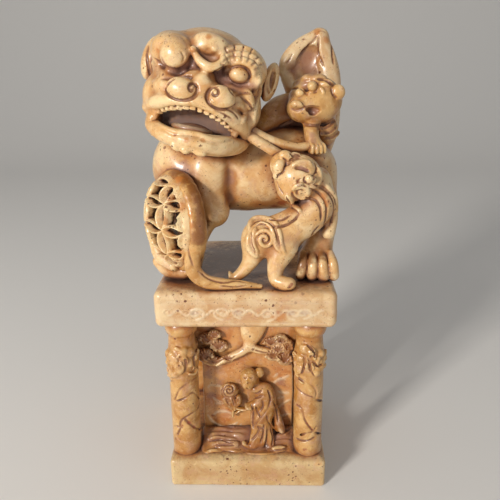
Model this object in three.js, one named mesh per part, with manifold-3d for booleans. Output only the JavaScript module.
import * as THREE from "three";
import { MeshoptSimplifier } from "three/addons/libs/meshopt_simplifier.module.js";
import { mergeVertices } from "three/addons/utils/BufferGeometryUtils.js";
import Module from "manifold-3d";

const wasm = await Module();
wasm.setup();
await MeshoptSimplifier.ready;

// Millimetres. The origin is the centre of the seal face, X to the viewer's right, Y away, Z up.
const CLEARANCE = 0.3;
const MERGE = 1e-3;
const THINNING = 0.1;
const END_REACH = 0.7;
const END_SHARE = 0.68;

// The architectural part, from the seal face upwards.
const BASE_HEIGHT = 9.4;
const BASE_CORNER = 0.8;
const BASE_EDGE = 0.9;
const STOREY_HEIGHT = 45.8;
const SLAB_SIDE = 50;
const SLAB_HEIGHT = 10;
const SLAB_CORNER = 1.2;
const SLAB_EDGE = 1.3;
const SLAB_OVERHANG = 1.35;
const BASE_SIDE = SLAB_SIDE - 2 * SLAB_OVERHANG;
const STOREY_TOP = BASE_HEIGHT + STOREY_HEIGHT;
const SLAB_TOP = STOREY_TOP + SLAB_HEIGHT;

// The columns at the four corners of the open storey.
const COLUMN_INSET = 5;
const COLUMN_OFFSET = BASE_SIDE / 2 - COLUMN_INSET;
const SHAFT_RADIUS = 3.9;
const FOOT_RADIUS = 4.5;
const FOOT_HEIGHT = 3.4;
const CAPITAL_RADIUS = 4.8;
const CAPITAL_HEIGHT = 7.4;
const NECK_RADIUS = 3.6;
const COIL_TURNS = 1.75;
const COIL_RADIUS = 3.3;
const COIL_THICKNESS = 1.55;
const COIL_START = 4.6;
const COIL_END = 16.2;
const DRAGON_HEAD = 3.0;

// The core of the storey and the shallow niche in each of its faces.
const CORE_HALF = 13.3;
const BEAM_HALF = 17;
const BEAM_HEIGHT = 15;
const NICHE_DEPTH = 1.4;
const NICHE_WIDTH = 21;
const NICHE_HEIGHT = 30;
const NICHE_SILL = 3;
const NICHE_RISE = 8;
const PANEL_FRONT = -(CORE_HALF - NICHE_DEPTH);

// The relief scene's own frame has its origin at the foot of the panel, or at its top for the pine.
const PINE_Y = -1.3;
const BLOOM = [-5.1, -1.7, 18.6];
const PETALS = 6;

// The carving's own frame has its origin at the middle of the slab's top. The main lion's head
// has a frame in it: X across the face, -Y out of the face, Z up the face.
const HEAD_AT = [-10, -11, 51.8];
const HEAD_ROLL = 12;

// The brocade ball is an upright disc with domed faces.
const BALL_AT = [-19.8, -14.5, 17];
const BALL_AXIS_TURN = 35;
const BALL_HALF_THICKNESS = 6.8;
const BALL_RADIUS = 12;
const BALL_HALF_HEIGHT = 13.3;
const BALL_WALL = 1.9;

const RIBBON_WIDTH = 4.3;
const RIBBON_THICKNESS = 2.2;
const MOUTH_RIBBON = 1.35;

// The stone's colours, and its roughness where it is polished and where it is left dull.
const SOAPSTONE = 0xdcc78c;
const STAINED_STONE = 0x94806a;
const PANEL_STONE = 0xb8824a;
const MOUTH_STONE = 0x5a2f2c;
const POLISHED = 0.32;
const DULL = 0.5;

const rad = THREE.MathUtils.degToRad;
const vec = (p) => new THREE.Vector3(...p);

// A closed three.js geometry as a solid.
function solid(geometry) {
  const bare = new THREE.BufferGeometry();
  bare.setAttribute("position", geometry.getAttribute("position"));
  if (geometry.index) bare.setIndex(geometry.index);
  const merged = mergeVertices(bare, MERGE);
  const corners = merged.index.array;
  const kept = [];
  for (let i = 0; i < corners.length; i += 3) {
    const [a, b, c] = corners.slice(i, i + 3);
    if (a !== b && b !== c && c !== a) kept.push(a, b, c);
  }
  return new wasm.Manifold(
    new wasm.Mesh({
      numProp: 3,
      vertProperties: merged.attributes.position.array,
      triVerts: new Uint32Array(kept),
    }),
  );
}

// A solid as a three.js geometry.
function geometryOf(body) {
  const { vertProperties, triVerts } = body.getMesh();
  const geometry = new THREE.BufferGeometry();
  geometry.setAttribute("position", new THREE.BufferAttribute(vertProperties, 3));
  return geometry.setIndex(new THREE.BufferAttribute(triVerts, 1));
}

// Drops the corners that a body can lose while its surface moves by no more than the limit.
// A body that wouldn't stay closed keeps them.
function thinned(body, limit = THINNING) {
  const options = ["ErrorAbsolute"];
  try {
    const { vertProperties, triVerts } = solid(geometryOf(body)).getMesh();
    const [kept] = MeshoptSimplifier.simplify(triVerts, vertProperties, 3, 0, limit, options);
    return new wasm.Manifold(new wasm.Mesh({ numProp: 3, vertProperties, triVerts: kept }));
  } catch {
    return body;
  }
}

const joined = (list) => list.reduce((all, one) => all.add(one));

// Rotates about X, then Y, then Z, in degrees, and then moves.
function placed(geometry, at, turn = [0, 0, 0]) {
  const matrix = new THREE.Matrix4().makeRotationFromEuler(
    new THREE.Euler(rad(turn[0]), rad(turn[1]), rad(turn[2]), "ZYX"),
  );
  return geometry.applyMatrix4(matrix.setPosition(...at));
}

// A rounded mass with three half sizes.
function blob(at, half, grow = 0, turn = [0, 0, 0], detail = 2) {
  const ball = new THREE.IcosahedronGeometry(1, detail);
  ball.scale(half[0] + grow, half[1] + grow, half[2] + grow);
  return solid(placed(ball, at, turn));
}

// A block with three full sizes.
function block(at, size, grow = 0, turn = [0, 0, 0]) {
  const box = new THREE.BoxGeometry(...size.map((s) => s + 2 * grow));
  return solid(placed(box, at, turn));
}

// A round-ended loft along a curve. Each station is [x, y, z, half width, half thickness]; the
// thickness is measured along the face direction, which may be a function of the share run.
function limb(stations, grow = 0, face = [0, -1, 0], rows = 10, sides = 10) {
  const path = new THREE.CatmullRomCurve3(stations.map((s) => vec(s.slice(0, 3))));
  const girth = new THREE.CatmullRomCurve3(
    stations.map((s) => new THREE.Vector3(s[3], s[4] ?? s[3], 0)),
  );
  const half = (t) => girth.getPoint(t).addScalar(grow);
  const tip = (t, way) => {
    const reach = way * Math.min(half(t).x, half(t).y);
    return path.getPoint(t).addScaledVector(path.getTangent(t), reach);
  };
  const ring = (t, reach, share) => {
    const tangent = path.getTangent(t);
    const facing = vec(typeof face === "function" ? face(t) : face);
    const wide = new THREE.Vector3().crossVectors(tangent, facing).normalize();
    const deep = new THREE.Vector3().crossVectors(wide, tangent);
    const middle = path.getPoint(t).lerp(tip(t, Math.sign(reach)), Math.abs(reach));
    return Array.from({ length: sides }, (_, k) => {
      const angle = (2 * Math.PI * k) / sides;
      const across = Math.cos(angle) * half(t).x * share;
      const out = Math.sin(angle) * half(t).y * share;
      return middle.clone().addScaledVector(wide, across).addScaledVector(deep, out);
    });
  };
  const rings = [ring(0, -END_REACH, END_SHARE)];
  for (let i = 0; i <= rows; i++) rings.push(ring(i / rows, 0, 1));
  rings.push(ring(1, END_REACH, END_SHARE));
  return lofted(rings, tip(0, -1), tip(1, 1));
}

// Joins rings of points, with a point at each end, into one closed surface.
function lofted(rings, start, finish) {
  const sides = rings[0].length;
  const points = [start, ...rings.flat(), finish];
  const last = points.length - 1;
  const top = last - sides;
  const corners = [];
  for (let k = 0; k < sides; k++) {
    const next = (k + 1) % sides;
    corners.push(0, 1 + k, 1 + next);
    for (let low = 1; low < top; low += sides) {
      const high = low + sides;
      corners.push(low + k, high + next, low + next);
      corners.push(low + k, high + k, high + next);
    }
    corners.push(last, top + next, top + k);
  }
  const geometry = new THREE.BufferGeometry().setFromPoints(points);
  return solid(geometry.setIndex(corners));
}

// A square plate with rounded corners and edges.
function plate(side, height, bottom, corner, edge) {
  const half = side / 2 - edge;
  const outline = new THREE.Shape();
  outline.moveTo(corner - half, -half);
  for (let quarter = 0; quarter < 4; quarter++) {
    const turn = (quarter * Math.PI) / 2;
    const middle = new THREE.Vector2(half - corner, corner - half);
    middle.rotateAround(new THREE.Vector2(), turn);
    outline.absarc(middle.x, middle.y, corner, turn - Math.PI / 2, turn);
  }
  outline.closePath();
  const body = new THREE.ExtrudeGeometry(outline, {
    depth: height - 2 * edge,
    bevelThickness: edge,
    bevelSize: edge,
    bevelSegments: 2,
    curveSegments: 3,
  });
  return solid(body.translate(0, 0, bottom + edge));
}

// A turned body on a vertical axis, from a profile of [radius, height] that starts and ends on it.
function turned(profile, x, y, sides) {
  const points = profile.map(([radius, height]) => new THREE.Vector2(radius, height));
  const lathe = new THREE.LatheGeometry(points, sides).rotateX(Math.PI / 2);
  return solid(lathe.translate(x, y, 0));
}

const WIDE = 2 * SLAB_SIDE;
const BELOW = block([0, 0, -WIDE / 2], [WIDE, WIDE, WIDE]);
const ABOVE = block([0, 0, WIDE / 2], [WIDE, WIDE, WIDE]);
const BEHIND = block([0, WIDE / 2, 0], [WIDE, WIDE, 2 * WIDE]);
const standing = (mass) => thinned(mass).subtract(BELOW);

// Places a solid that is built in the frame named.
const asBuilt = (mass) => mass;
const onPanel = (mass) => mass.translate([0, PANEL_FRONT, BASE_HEIGHT]);
const underSlab = (mass) => mass.translate([0, PANEL_FRONT, STOREY_TOP]);
const onSlab = (mass) => mass.translate([0, 0, SLAB_TOP]);
const onHead = (mass) => onSlab(mass.rotate([0, HEAD_ROLL, 0]).translate(HEAD_AT));

function sealBase() {
  return plate(BASE_SIDE, BASE_HEIGHT, 0, BASE_CORNER, BASE_EDGE);
}

function topSlab() {
  return plate(SLAB_SIDE, SLAB_HEIGHT, STOREY_TOP, SLAB_CORNER, SLAB_EDGE);
}

// One column: a foot, a shaft and a bulging capital, with a dragon coiled round it.
function column(signX, signY, grow) {
  const x = signX * COLUMN_OFFSET;
  const y = signY * COLUMN_OFFSET;
  const profile = [
    [0, BASE_HEIGHT],
    [FOOT_RADIUS * 0.9, BASE_HEIGHT],
    [FOOT_RADIUS, BASE_HEIGHT + FOOT_HEIGHT / 2],
    [SHAFT_RADIUS, BASE_HEIGHT + FOOT_HEIGHT],
    [NECK_RADIUS, STOREY_TOP - CAPITAL_HEIGHT],
    [CAPITAL_RADIUS, STOREY_TOP - CAPITAL_HEIGHT * 0.6],
    [CAPITAL_RADIUS, STOREY_TOP - CAPITAL_HEIGHT * 0.25],
    [CAPITAL_RADIUS * 0.88, STOREY_TOP],
    [0, STOREY_TOP],
  ];
  const shaft = turned(
    profile.map(([radius, height]) => [radius ? radius + grow : 0, height]),
    x,
    y,
    12,
  );
  const coilBottom = BASE_HEIGHT + COIL_START;
  const coilTop = STOREY_TOP - COIL_END;
  const coil = [];
  for (let i = 0; i <= 10; i++) {
    const share = i / 10;
    const angle = signX * (Math.PI * 0.2 + share * COIL_TURNS * 2 * Math.PI);
    coil.push([
      x + COIL_RADIUS * Math.sin(angle),
      y - COIL_RADIUS * Math.cos(angle),
      coilBottom + share * (coilTop - coilBottom),
      COIL_THICKNESS * (0.65 + 0.35 * share),
    ]);
  }
  const head = [x + signX * 1.4, y - 2.6, coilTop + 2.5];
  const snout = [x + signX * 3.2, y - 3.6, coilTop + 0.6];
  return joined([
    shaft,
    limb(coil, grow, [0, 0, 1], 15, 5),
    blob(head, [DRAGON_HEAD, 2.2, 2.8], grow, [0, 0, 0], 1),
    blob(snout, [1.7, 1.5, 1.5], grow, [0, 0, 0], 1),
  ]);
}

// The core between the columns: a square block that widens under the slab, flat in front and
// with an arched niche in each of the other faces.
function storeyCore() {
  const post = block(
    [0, 0, BASE_HEIGHT + STOREY_HEIGHT / 2],
    [2 * CORE_HALF, 2 * CORE_HALF, STOREY_HEIGHT],
  );
  const beamHeight = STOREY_TOP - BEAM_HEIGHT / 2;
  const beams = joined([
    block([0, 0, beamHeight], [2 * BEAM_HALF, 2 * CORE_HALF, BEAM_HEIGHT]),
    block([0, 0, beamHeight], [2 * CORE_HALF, 2 * BEAM_HALF, BEAM_HEIGHT]),
  ]);
  const arch = new THREE.Shape();
  const spring = BASE_HEIGHT + NICHE_SILL + NICHE_HEIGHT - NICHE_RISE;
  arch.moveTo(-NICHE_WIDTH / 2, BASE_HEIGHT + NICHE_SILL);
  arch.lineTo(NICHE_WIDTH / 2, BASE_HEIGHT + NICHE_SILL);
  arch.absellipse(0, spring, NICHE_WIDTH / 2, NICHE_RISE, 0, Math.PI, false, 0);
  arch.closePath();
  const niche = new THREE.ExtrudeGeometry(arch, {
    depth: 2 * NICHE_DEPTH,
    bevelEnabled: false,
    curveSegments: 4,
  });
  niche.rotateX(Math.PI / 2).translate(0, NICHE_DEPTH - CORE_HALF, 0);
  const cutter = solid(niche);
  let core = post.add(beams);
  for (let side = 1; side < 4; side++) core = core.subtract(cutter.rotate([0, 0, side * 90]));
  const ahead = block([0, PANEL_FRONT - WIDE / 2, 0], [WIDE, WIDE, 2 * WIDE]);
  return core.subtract(ahead);
}

// A pine trunk that comes down from under the slab and forks into two boughs with foliage pads.
function pineTree(grow) {
  const pads = [
    [-10.4, -11.2, 3.4],
    [-12.6, -14.6, 2.8],
    [-8.2, -7.8, 2.6],
    [9.4, -9.8, 3.2],
    [12, -13.8, 2.8],
    [12.4, -7.2, 2.6],
  ];
  const bough = (stations, rows) =>
    limb(
      stations.map(([x, z, thick]) => [x, PINE_Y, z, thick, thick * 0.9]),
      grow,
      [0, -1, 0],
      rows,
      6,
    );
  return joined([
    bough([[3, 0.8, 3], [2.4, -5.2, 2.4], [0, -11.6, 2.2]], 4),
    bough([[1, -11.2, 1.9], [-4, -14.2, 1.6], [-8.6, -16.4, 1.4], [-11.5, -14.4, 1.3]], 5),
    bough([[0, -11.4, 1.9], [5.4, -11.8, 1.6], [9.6, -14.2, 1.5], [12, -12.8, 1.3]], 5),
    ...pads.map(([x, z, r]) => blob([x, PINE_Y, z], [r, 2, r * 0.8], grow, [0, 0, 0], 1)),
  ])
    .subtract(BEHIND)
    .subtract(ABOVE);
}

// The elder in half relief: skirt, stooped back, sleeve, hand, head and topknot.
function elderFigure(grow) {
  return joined([
    limb(
      [
        [4.6, -1.5, 2.2, 4.6, 2.4],
        [4.6, -1.7, 8.6, 4.2, 2.8],
        [5.6, -2.1, 15.6, 4.2, 3.2],
        [4.4, -2.1, 20.2, 3.2, 2.8],
      ],
      grow,
      [0, -1, 0],
      5,
      8,
    ),
    limb(
      [
        [8.2, -1.5, 16.6, 2.2, 2],
        [9.4, -1.7, 10.6, 2, 2.2],
        [10.6, -1.5, 4.6, 1.8, 1.8],
      ],
      grow,
      [0, -1, 0],
      3,
      6,
    ),
    limb(
      [
        [5, -3.3, 18.2, 2.2, 2],
        [2.6, -3.9, 14.2, 2.1, 1.9],
        [-0.6, -3.9, 13, 1.2, 1.2],
      ],
      grow,
      [0, -1, 0],
      5,
      8,
    ),
    limb(
      [
        [2.2, -2.7, 12.2, 1.4, 1.6],
        [2.4, -2.5, 6.6, 1.6, 1.4],
      ],
      grow,
      [0, -1, 0],
      2,
      6,
    ),
    blob([0.4, -3.1, 23.8], [2.9, 2.7, 3.5], grow, [0, 0, 0], 1),
    blob([0, -5.3, 23], [0.55, 0.9, 0.9], grow, [0, 0, 0], 1),
    blob([3.6, -2.1, 25.6], [1.7, 1.6, 1.9], grow, [0, 0, 0], 1),
  ])
    .subtract(BEHIND)
    .subtract(BELOW);
}

// The peony that the elder holds: a ring of petals round a heart, with leaves and a stem.
function flowerSpray(grow) {
  const petals = Array.from({ length: PETALS }, (_, k) => {
    const angle = (2 * Math.PI * k) / PETALS;
    const at = [BLOOM[0] + 2 * Math.cos(angle), BLOOM[1], BLOOM[2] + 2 * Math.sin(angle)];
    return blob(at, [1.8, 1.5, 1.8], grow, [0, 0, 0], 1);
  });
  return joined([
    ...petals,
    blob([BLOOM[0], BLOOM[1] - 0.9, BLOOM[2]], [1.9, 1.8, 1.9], grow, [0, 0, 0], 1),
    limb(
      [
        [-4.8, -1.5, 15.6, 1.5, 1.4],
        [-3.6, -1.5, 12.6, 1.9, 1.3],
        [-3.4, -1.3, 10.4, 0.8, 0.8],
      ],
      grow,
      [0, -1, 0],
      3,
      5,
    ),
  ]).subtract(BEHIND);
}

// Low rocks and waves between the front columns.
function rockWaves(grow) {
  const waves = [
    [-8.6, -1.7, 1.8, 5.6, 3.4, 3.4],
    [-2, -2.5, 1, 5, 4, 2.2],
    [6.4, -3.1, 0.6, 7, 4, 2],
    [11, -1.7, 2, 3.4, 3.4, 3.6],
    [-7, -6.5, 0.4, 6.6, 2, 1.3],
    [4, -7.1, 0.4, 8, 2, 1.1],
  ];
  return joined(waves.map(([x, y, z, a, b, c]) => blob([x, y, z], [a, b, c], grow, [0, 0, 0], 1)))
    .subtract(BEHIND)
    .subtract(BELOW);
}

function lionTorso(grow) {
  return joined([
    limb(
      [
        [-16.5, -1, 30.3, 11, 12],
        [-6, 0, 28.8, 11.6, 12.6],
        [6, 0, 28.8, 11.4, 12.8],
        [15.5, 1, 28.4, 10.6, 12],
      ],
      grow,
      [0, -1, 0],
      6,
      14,
    ),
    blob([-14.5, -6.5, 27.8], [8.6, 7.6, 9.5], grow),
    blob([-19.6, -4, 33.3], [5.6, 7.5, 7.5], grow),
  ]);
}

// The heavy mane on the back of the neck, with round snail curls in staggered rows that wrap it.
const CURL_ROWS = 5;
const CURL_RADIUS = 3.1;
const CURL_STEP = 28;
const ROW_SPACING = 5.4;
const TOP_ROW = [-10, 3, 59.6];
const NECK_HALF = [13.4, 9.8];
const WAIST_ROW = 2.6;
const WAIST_SPAN = 4.2;

function lionMane(grow) {
  const curls = [];
  for (let row = 0; row < CURL_ROWS; row++) {
    const count = CURL_ROWS - (row % 2);
    const fullness = Math.sqrt(1 - ((row - WAIST_ROW) / WAIST_SPAN) ** 2);
    for (let k = 0; k < count; k++) {
      const angle = rad(CURL_STEP * (k - (count - 1) / 2));
      const x = TOP_ROW[0] + NECK_HALF[0] * fullness * Math.sin(angle);
      const y = TOP_ROW[1] + NECK_HALF[1] * fullness * Math.cos(angle);
      const at = [x, y, TOP_ROW[2] - row * ROW_SPACING];
      curls.push(blob(at, Array(3).fill(CURL_RADIUS), grow, [0, 0, 0], 1));
    }
  }
  return joined([
    limb(
      [
        [-9.5, 3, 37.8, 12, 9],
        [-9.8, 3.4, 46.8, 14, 9.6],
        [-9.4, 3, 56.3, 11, 8],
      ],
      grow,
      [0, -1, 0],
      5,
      12,
    ),
    ...curls,
  ]);
}

// Teeth along the upper lip, small and square, with a larger one at each corner.
const TEETH = [
  [-8.6, -10.6, -6.4],
  [-6.6, -12.6, -5.3],
  [-4.5, -13.7, -4.6],
  [-2.3, -14.3, -4.2],
  [0, -14.6, -4.1],
  [2.2, -14.3, -4.3],
  [4.3, -13.6, -4.8],
  [6.3, -12.4, -5.6],
];
const TOOTH = [1.7, 1.6, 2.2];
const FANGS = [
  [-10.6, -8.2, -7.6],
  [9, -9, -7.6],
];
const FANG = [1.5, 1.5, 2.6];
const BROW_CURLS = [
  [4.3, -12.6, 9.4],
  [6.9, -11.8, 10],
  [9.5, -10.6, 9.6],
  [11.8, -8.8, 8.2],
  [13, -7.2, 5.8],
];

function lionHead(grow) {
  const masses = joined([
    blob([-0.5, 1.5, 1.4], [15.2, 12.6, 12.8], grow, [0, 0, 0], 3),
    blob([-9, -5.5, 8], [6, 6, 5.6], grow),
    blob([8.4, -5.5, 7.2], [5.8, 6, 5.2], grow),
    blob([0.4, -8.4, -0.8], [11.4, 5.6, 4.6], grow),
    limb(
      [
        [-12.4, -5.4, -8, 1.9, 2.2],
        [-8.6, -10, -5, 1.9, 2.4],
        [-1, -13, -3, 1.9, 2.4],
        [6, -12, -3.9, 1.9, 2.4],
        [12, -5, -8.6, 1.9, 2.2],
      ],
      grow,
      [0, -1, 0.3],
      8,
      6,
    ),
    limb(
      [
        [0.6, -12.6, 7.6, 2, 1.8],
        [0.8, -13.6, 4, 2.2, 1.8],
        [0.7, -14, 0.6, 2.4, 1.8],
      ],
      grow,
      [0, -1, 0.2],
      3,
      6,
    ),
  ]);
  const fangs = FANGS.map((at) => blob(at, FANG, grow, [0, 0, 0], 1));
  if (grow) return joined([masses, ...fangs]);
  const cavity = joined([
    blob([0, -10, -7.9], [9.4, 9, 4.2]),
    block([0, -12, -14], [19, 16, 11]),
  ]);
  const features = joined([
    blob([-7.5, -9.6, 6.6], [3.5, 2.9, 3.9], 0, [0, 14, 0], 2),
    blob([8.1, -9, 5.4], [3.4, 2.9, 3.4], 0, [0, 0, 0], 2),
    blob([-4.3, -13.4, 0.1], [4, 2.4, 2.9], 0, [0, 12, -14], 2),
    blob([5.3, -13.4, -0.1], [3.9, 2.4, 2.9], 0, [0, -8, 16], 2),
    blob([0.6, -12.4, 8.2], [3.6, 2, 2.4], 0, [0, 0, 0], 1),
    blob([-3.3, -11.6, 8.8], [1, 1, 1], 0, [0, 0, 0], 1),
    ...BROW_CURLS.map((at) => blob(at, [1.6, 1.7, 1.5], 0, [0, 0, 0], 1)),
  ]);
  const teeth = joined([
    ...TEETH.map((at) => block(at, TOOTH)),
    ...fangs,
  ]);
  const sockets = joined([
    blob([-7.5, -11.6, 6.6], [4.4, 2.6, 4.8], 0, [0, 14, 0], 1),
    blob([8.1, -11, 5.4], [4.2, 2.6, 4.2], 0, [0, 0, 0], 1),
  ]);
  return masses.subtract(sockets).add(features).subtract(cavity).add(teeth);
}

// The dropped lower jaw, hollowed for the tongue.
function lionJaw(grow) {
  const bowl = joined([
    limb(
      [
        [-11, -4.6, -10, 2.6, 2.4],
        [-7.4, -9.6, -11.2, 2.9, 2.4],
        [1.4, -12.4, -11.5, 3.2, 2.4],
        [8.4, -9.4, -11.6, 2.9, 2.4],
        [11.4, -4, -11, 2.4, 2.4],
      ],
      grow,
      [0, -1, -0.25],
      9,
      8,
    ),
    blob([0.8, -4.5, -12.2], [11, 9, 3.4], grow),
  ]);
  if (grow) return bowl;
  return bowl.subtract(blob([-0.5, -6.4, -8.8], [9, 7, 3]));
}

function lionTongue(grow) {
  return joined([
    blob([-1.2, -8.6, -10.2], [4.6, 4.6, 1.5], grow, [0, 0, 0], 1),
    blob([-0.6, -3.4, -9.6], [3.8, 5, 1.6], grow, [0, 0, 0], 1),
  ]);
}

const EAR = [3, 3.4, 5.8];
const EAR_HOLLOW = [1.6, 1.7, 3.8];
const EAR_HOLLOW_OFFSET = 2.9;
const EAR_LEFT_AT = [-15.2, 3, 4.6];
const EAR_RIGHT_AT = [16.4, 3.4, 6];

// A leaf-shaped ear, hollowed on the side that faces forward.
function lionEar(at, turn, grow) {
  const leaf = blob(at, EAR, grow, turn, 1);
  if (grow) return leaf;
  const hollow = [at[0], at[1] - EAR_HOLLOW_OFFSET, at[2]];
  return leaf.subtract(blob(hollow, EAR_HOLLOW, 0, turn, 1));
}

// A paw of four toes in front of a pad, pointing along its heading in degrees from -Y.
function paw(at, heading, size, grow) {
  const turn = rad(heading);
  const ahead = [Math.sin(turn), -Math.cos(turn)];
  const toes = [-1.5, -0.5, 0.5, 1.5].map((step) => {
    const side = step * size * 0.52;
    const reach = size * (0.8 - 0.07 * step * step);
    return blob(
      [
        at[0] + ahead[0] * reach - ahead[1] * side,
        at[1] + ahead[1] * reach + ahead[0] * side,
        at[2],
      ],
      [size * 0.36, size * 0.5, size * 0.8],
      grow,
      [0, 0, heading],
      1,
    );
  });
  const pad = [size * 1.1, size * 0.98, size * 0.7];
  return joined([...toes, blob(at, pad, grow, [0, 0, heading], 1)]);
}

function forelegLeft(grow) {
  return standing(
    joined([
      limb(
        [
          [-12.5, -10, 24.8, 7.4, 5.6],
          [-10.4, -11.6, 19.3, 5, 4.4],
          [-9.2, -12, 15.2, 3.5, 3.4],
          [-11.4, -11.2, 10.2, 3.1, 3],
          [-15, -9, 4.8, 3, 3],
        ],
        grow,
        [0, -1, 0],
        7,
        9,
      ),
      paw([-16.2, -8, 2.4], -60, 3.2, grow),
    ]),
  );
}

function forelegRight(grow) {
  return standing(
    joined([
      limb(
        [
          [-19.4, 3, 25.8, 5.4, 6],
          [-21.6, 1.4, 17.8, 3.8, 4.4],
          [-23, -0.4, 10.4, 3.2, 3.6],
          [-23.4, -4, 4.2, 3.2, 3.2],
        ],
        grow,
        [0, -1, 0],
        7,
        9,
      ),
      paw([-23.4, -5.6, 2.8], -12, 3.3, grow),
    ]),
  );
}

function hindLegLeft(grow) {
  return standing(
    joined([
      limb(
        [
          [16.5, -5.5, 26.8, 8.4, 7],
          [21, -8.2, 20.8, 5.4, 5.4],
          [22.6, -8.6, 14.4, 3.6, 4],
          [21, -8.6, 7.8, 4, 3.8],
        ],
        grow,
        [0, -1, 0],
        7,
        9,
      ),
      paw([20.6, -11.4, 3.4], 4, 4.9, grow),
    ]),
  );
}

function hindLegRight(grow) {
  return standing(
    joined([
      limb(
        [
          [15.5, 8.5, 26.8, 8.2, 7],
          [18.4, 12.4, 20.2, 5.4, 5.4],
          [19, 15, 12.8, 3.7, 4],
          [16.6, 14.6, 5.8, 3.8, 3.6],
        ],
        grow,
        [0, -1, 0],
        7,
        9,
      ),
      paw([14.6, 14.2, 2.8], -80, 3.8, grow),
    ]),
  );
}

// The flame-shaped tail stands on the rump: a thin web with thick folded edges round it.
function lionTail(grow) {
  const folds = [
    [
      [20.4, 4.4, 30.8, 3.8, 3.6],
      [24.4, 7.6, 40.8, 3.6, 3.2],
      [25, 8.8, 48.8, 3.4, 3],
      [24.4, 9.2, 56.8, 3.4, 3],
      [21.2, 9.4, 65.8, 2.7, 2.6],
    ],
    [
      [21.6, 9.4, 66, 2.6, 2.4],
      [16.6, 9.2, 63.2, 2.7, 2.4],
      [12.8, 9, 59.4, 2.2, 2.1],
      [11.2, 8.8, 57.6, 1.3, 1.4],
    ],
    [
      [21, 7.6, 37.8, 3, 2.8],
      [16, 8.8, 46.8, 2.5, 2.4],
      [12.8, 8.8, 54.8, 2, 2],
    ],
  ];
  return joined([
    blob([18.8, 10.4, 53.8], [7, 2.6, 11.4], grow, [0, -14, 0]),
    ...folds.map((fold) => limb(fold, grow, [0, -1, 0], 5, 8)),
  ]);
}

// The ball's own directions: its axis, and the level direction across its face.
const ballTurn = rad(BALL_AXIS_TURN);
const BALL_AXIS = [-Math.cos(ballTurn), -Math.sin(ballTurn), 0];
const BALL_ACROSS = [Math.sin(ballTurn), -Math.cos(ballTurn), 0];
const PATTERN_PITCH = 7.1;
const HOLE_CORNER = 2.75;
const HOLE_SIDE = 1.75;

function onBall(across, up, out) {
  return BALL_AT.map(
    (value, k) => value + across * BALL_ACROSS[k] + out * BALL_AXIS[k] + (k === 2 ? up : 0),
  );
}

// Openwork of overlapping circles: the holes are four-pointed stars between the petals.
function brocadeBall(grow) {
  const lens = (inset, detail) =>
    blob(
      BALL_AT,
      [BALL_HALF_THICKNESS - inset, BALL_RADIUS - inset, BALL_HALF_HEIGHT - inset],
      0,
      [0, 0, BALL_AXIS_TURN],
      detail,
    );
  if (grow) return lens(-grow, 3);
  const star = new THREE.Shape();
  for (let k = 0; k < 8; k++) {
    const reach = k % 2 ? HOLE_CORNER * Math.SQRT2 : HOLE_SIDE;
    const angle = (k * Math.PI) / 4;
    star[k ? "lineTo" : "moveTo"](reach * Math.cos(angle), reach * Math.sin(angle));
  }
  star.closePath();
  const holes = [];
  for (let row = -2; row < 2; row++) {
    for (let k = -2; k < 2; k++) {
      const across = (k + 0.5) * PATTERN_PITCH + 0.6;
      const up = (row + 0.5) * PATTERN_PITCH - 0.9;
      if (Math.hypot(across / BALL_RADIUS, up / BALL_HALF_HEIGHT) > 0.86) continue;
      const prism = new THREE.ExtrudeGeometry(star, {
        depth: 4 * BALL_HALF_THICKNESS,
        bevelEnabled: false,
      });
      prism.translate(0, 0, -2 * BALL_HALF_THICKNESS);
      prism.applyMatrix4(
        new THREE.Matrix4()
          .makeBasis(vec(BALL_ACROSS), new THREE.Vector3(0, 0, 1), vec(BALL_AXIS))
          .setPosition(...onBall(across, up, 0)),
      );
      holes.push(solid(prism));
    }
  }
  return lens(0, 3).subtract(lens(BALL_WALL, 1)).subtract(joined(holes));
}

// The band round the ball's rim, and the ribbon that falls from it and runs along the slab.
function ballRibbon(grow) {
  const hoop = [];
  for (let k = 0; k <= 14; k++) {
    const angle = Math.PI * (0.92 - (1.5 * k) / 14);
    hoop.push([
      ...onBall(
        (BALL_RADIUS - 0.4) * Math.cos(angle),
        (BALL_HALF_HEIGHT - 0.4) * Math.sin(angle),
        0,
      ),
      RIBBON_WIDTH / 2 + 0.2,
      RIBBON_THICKNESS / 2,
    ]);
  }
  const outward = (t) => {
    const angle = Math.PI * (0.92 - 1.5 * t);
    const across = Math.cos(angle);
    return [across * BALL_ACROSS[0], across * BALL_ACROSS[1], Math.sin(angle)];
  };
  const fall = [
    [-13.4, -23.2, 14.8, 2.1, 1.1],
    [-14.2, -23.6, 9.4, 2.1, 1.1],
    [-13.8, -23.4, 5.4, 2.1, 1.2],
    [-10.6, -23, 2.4, 2, 1.4],
    [-5.4, -22.8, 1.4, 1.6, 1.5],
    [-0.4, -22.6, 1.4, 1.1, 1.2],
    [4.2, -22.4, 0.7, 0.7, 0.8],
  ];
  return standing(
    joined([limb(hoop, grow, outward, 18, 6), limb(fall, grow, [0.1, -1, 0], 12, 6)]),
  );
}

// Two cords run from the corner of the main lion's mouth, down to the front cub and
// across to the paw of the rear cub.
function mouthRibbon(grow) {
  return joined([
    limb(
      [
        [-1.2, -16.4, 42, MOUTH_RIBBON],
        [6.4, -16, 37.2, MOUTH_RIBBON],
        [12.6, -14.6, 33.4, MOUTH_RIBBON],
      ],
      grow,
      [0, -1, 0],
      4,
      6,
    ),
    limb(
      [
        [-0.6, -15.4, 43, MOUTH_RIBBON],
        [7, -14.4, 39, MOUTH_RIBBON],
        [13.4, -13, 37, MOUTH_RIBBON],
        [18.4, -11.4, 37.2, MOUTH_RIBBON * 0.9],
      ],
      grow,
      [0, -1, 0],
      5,
      6,
    ),
  ]);
}

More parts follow.
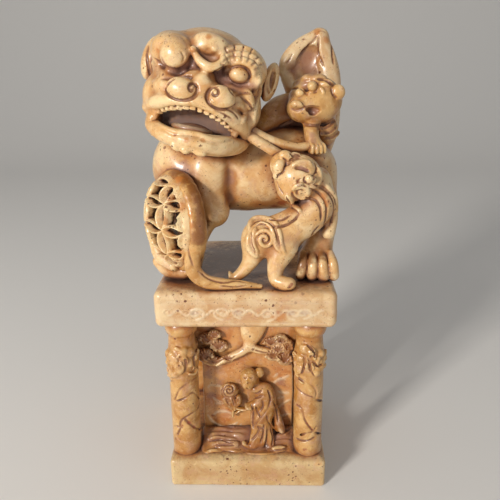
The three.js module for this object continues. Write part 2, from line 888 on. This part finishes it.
function frontCubBody(grow) {
  return standing(
    joined([
      limb(
        [
          [4.6, -17.6, 11.2, 5, 4.6],
          [10.6, -17.4, 14.2, 4.8, 4.6],
          [16, -16.4, 17.2, 4.9, 4.8],
          [19.6, -15.2, 22.2, 5, 5],
          [19, -14.6, 27.4, 4.8, 4.6],
        ],
        grow,
        [0, -1, 0],
        9,
        12,
      ),
      limb(
        [
          [3.4, -18.2, 10.2, 3.6, 3.2],
          [2, -18.6, 5.8, 2.3, 2.1],
          [-0.4, -18.8, 2.2, 1.5, 1.5],
          [-2, -19, 1.6, 1.2, 1.2],
        ],
        grow,
        [0, -1, 0],
        5,
        7,
      ),
      limb(
        [
          [11, -19, 11.2, 4, 3.4],
          [9.6, -20.4, 5.8, 2.6, 2.4],
          [9.4, -21.6, 2.2, 2, 2],
          [11.8, -22.6, 1.4, 2, 2],
        ],
        grow,
        [0, -1, 0],
        6,
        7,
      ),
      limb(
        [
          [21.6, -14.6, 22.8, 3, 3],
          [23.6, -13.4, 18.2, 2.2, 2.2],
          [23.2, -13.8, 13.6, 2, 2],
        ],
        grow,
        [0, -1, 0],
        4,
        7,
      ),
    ]),
  );
}

function frontCubTail(grow) {
  return joined([
    limb(
      [
        [3.4, -21.4, 15.6, 1.2],
        [7.4, -22.6, 15, 1.3],
        [9.8, -23.2, 11.8, 1.3],
        [12.2, -23, 7.8, 0.8],
      ],
      grow,
      [0, -1, 0],
      6,
      5,
    ),
    limb(
      [
        [3.2, -21.2, 15.2, 1.2],
        [2.4, -22.4, 11.4, 1.2],
        [4.4, -23.2, 9.2, 1.2],
        [6.8, -23.4, 10.6, 1.1],
        [6.4, -23.4, 12.6, 0.9],
      ],
      grow,
      [0, -1, 0],
      8,
      5,
    ),
  ]);
}

function frontCubHead(grow) {
  return joined([
    blob([14.4, -17.4, 29.4], [6.4, 5.8, 6.2], grow),
    blob([10.2, -17, 32.8], [3.4, 3.6, 3.2], grow, [0, 20, 0], 1),
    blob([12.6, -17.6, 26], [3.8, 4, 3.4], grow, [0, 0, 0], 1),
    blob([17, -20.6, 29.8], [3, 2.6, 2.8], grow, [0, 0, 0], 1),
    blob([14.8, -21.2, 26.2], [2.6, 2.2, 2.4], grow, [0, 0, 0], 1),
    limb(
      [
        [19.4, -16, 34.8, 2.2, 1.4],
        [22, -15.4, 32.4, 2.2, 1.4],
        [22.8, -15.2, 29.2, 1.5, 1.2],
      ],
      grow,
      [0, -1, 0],
      3,
      6,
    ),
  ]);
}

function rearCubBody(grow) {
  return joined([
    limb(
      [
        [5.4, -1, 41.8, 3, 3.6],
        [10, 1, 44.8, 5, 5],
        [16, 2.6, 45.2, 5.6, 5.4],
        [21.4, 2.4, 43.2, 5, 5],
      ],
      grow,
      [0, -1, 0],
      5,
      9,
    ),
    blob([22.6, -1.6, 40.4], [3.8, 4.6, 4.8], grow, [0, 0, 0], 1),
  ]);
}

function rearCubHead(grow) {
  const skull = joined([
    blob([19.4, -5, 49], [7, 6.2, 6], grow),
    blob([16.6, -7.2, 47], [4.8, 4.6, 4], grow, [0, 0, 0], 1),
    blob([25.2, -3.4, 50.8], [2.2, 1.8, 2.4], grow, [0, 0, 0], 1),
    blob([12.8, -2, 52.2], [1.8, 1.6, 2.2], grow, [0, 0, 0], 1),
  ]);
  if (grow) return skull;
  const features = joined([
    blob([18.2, -9.8, 52], [1.4, 1.4, 1.5], 0, [0, 0, 0], 1),
    blob([14.2, -9.6, 50.8], [1.3, 1.3, 1.4], 0, [0, 0, 0], 1),
    blob([14.4, -11.2, 48.2], [1.9, 1.2, 1.3], 0, [0, 0, 0], 1),
  ]);
  return skull.add(features).subtract(blob([17.4, -11.4, 45.4], [2.8, 2.4, 1], 0, [0, 14, 0], 1));
}

function rearCubForeleg(grow) {
  return joined([
    limb(
      [
        [18.6, -6.4, 43.8, 2.6, 2.6],
        [18.2, -9.4, 40.4, 2.1, 2.1],
        [18.8, -11.2, 37.2, 1.9, 1.9],
      ],
      grow,
      [0, -1, 0],
      3,
      7,
    ),
    blob([19.6, -12, 35.8], [2.6, 2.4, 1.7], grow, [0, 12, 0], 1),
  ]);
}

// Every piece: its name, its frame and its form as a function of how far its surface is grown.
// An earlier piece keeps its shape, and a later one is cut back from it by the clearance.
const PIECES = [
  ["seal_base", asBuilt, sealBase],
  ["top_slab", asBuilt, topSlab],
  ["column_front_left", asBuilt, (grow) => column(-1, -1, grow)],
  ["column_front_right", asBuilt, (grow) => column(1, -1, grow)],
  ["column_back_left", asBuilt, (grow) => column(-1, 1, grow)],
  ["column_back_right", asBuilt, (grow) => column(1, 1, grow)],
  ["elder_figure", onPanel, elderFigure],
  ["flower_spray", onPanel, flowerSpray],
  ["pine_tree", underSlab, pineTree],
  ["rock_waves", onPanel, rockWaves],
  ["storey_core", asBuilt, storeyCore],
  ["lion_head", onHead, lionHead],
  ["lion_tongue", onHead, lionTongue],
  ["lion_jaw", onHead, lionJaw],
  ["lion_ear_left", onHead, (grow) => lionEar(EAR_LEFT_AT, [0, -6, 20], grow)],
  ["lion_ear_right", onHead, (grow) => lionEar(EAR_RIGHT_AT, [0, 4, -14], grow)],
  ["ball_ribbon", onSlab, ballRibbon],
  ["brocade_ball", onSlab, brocadeBall],
  ["front_cub_tail", onSlab, frontCubTail],
  ["front_cub_head", onSlab, frontCubHead],
  ["front_cub_body", onSlab, frontCubBody],
  ["rear_cub_head", onSlab, rearCubHead],
  ["rear_cub_foreleg", onSlab, rearCubForeleg],
  ["mouth_ribbon", onSlab, mouthRibbon],
  ["rear_cub_body", onSlab, rearCubBody],
  ["lion_tail", onSlab, lionTail],
  ["foreleg_left", onSlab, forelegLeft],
  ["foreleg_right", onSlab, forelegRight],
  ["hind_leg_left", onSlab, hindLegLeft],
  ["hind_leg_right", onSlab, hindLegRight],
  ["lion_torso", onSlab, lionTorso],
  ["lion_mane", onSlab, lionMane],
];
const PLATES = ["seal_base", "top_slab"];
const STAINS = {
  top_slab: [STAINED_STONE, DULL],
  storey_core: [PANEL_STONE, DULL],
  lion_tongue: [MOUTH_STONE, DULL],
};
const LARGER = (a, b) => b.volume() - a.volume();

function stone(name) {
  const [color, roughness] = STAINS[name] ?? [SOAPSTONE, POLISHED];
  return new THREE.MeshStandardMaterial({ color, roughness, metalness: 0 });
}

// The group of named meshes. Crumbs that a cut leaves loose are dropped.
function assembled() {
  const group = new THREE.Group();
  const grown = [];
  for (const [name, inPlace, form] of PIECES) {
    let body = thinned(inPlace(form(0)));
    for (const cutter of grown) body = body.subtract(cutter);
    if (!PLATES.includes(name)) grown.push(thinned(inPlace(form(CLEARANCE))));
    body = thinned(body.decompose().sort(LARGER)[0]);
    const mesh = new THREE.Mesh(geometryOf(body), stone(name));
    mesh.name = name;
    group.add(mesh);
  }
  return group;
}

export default assembled();
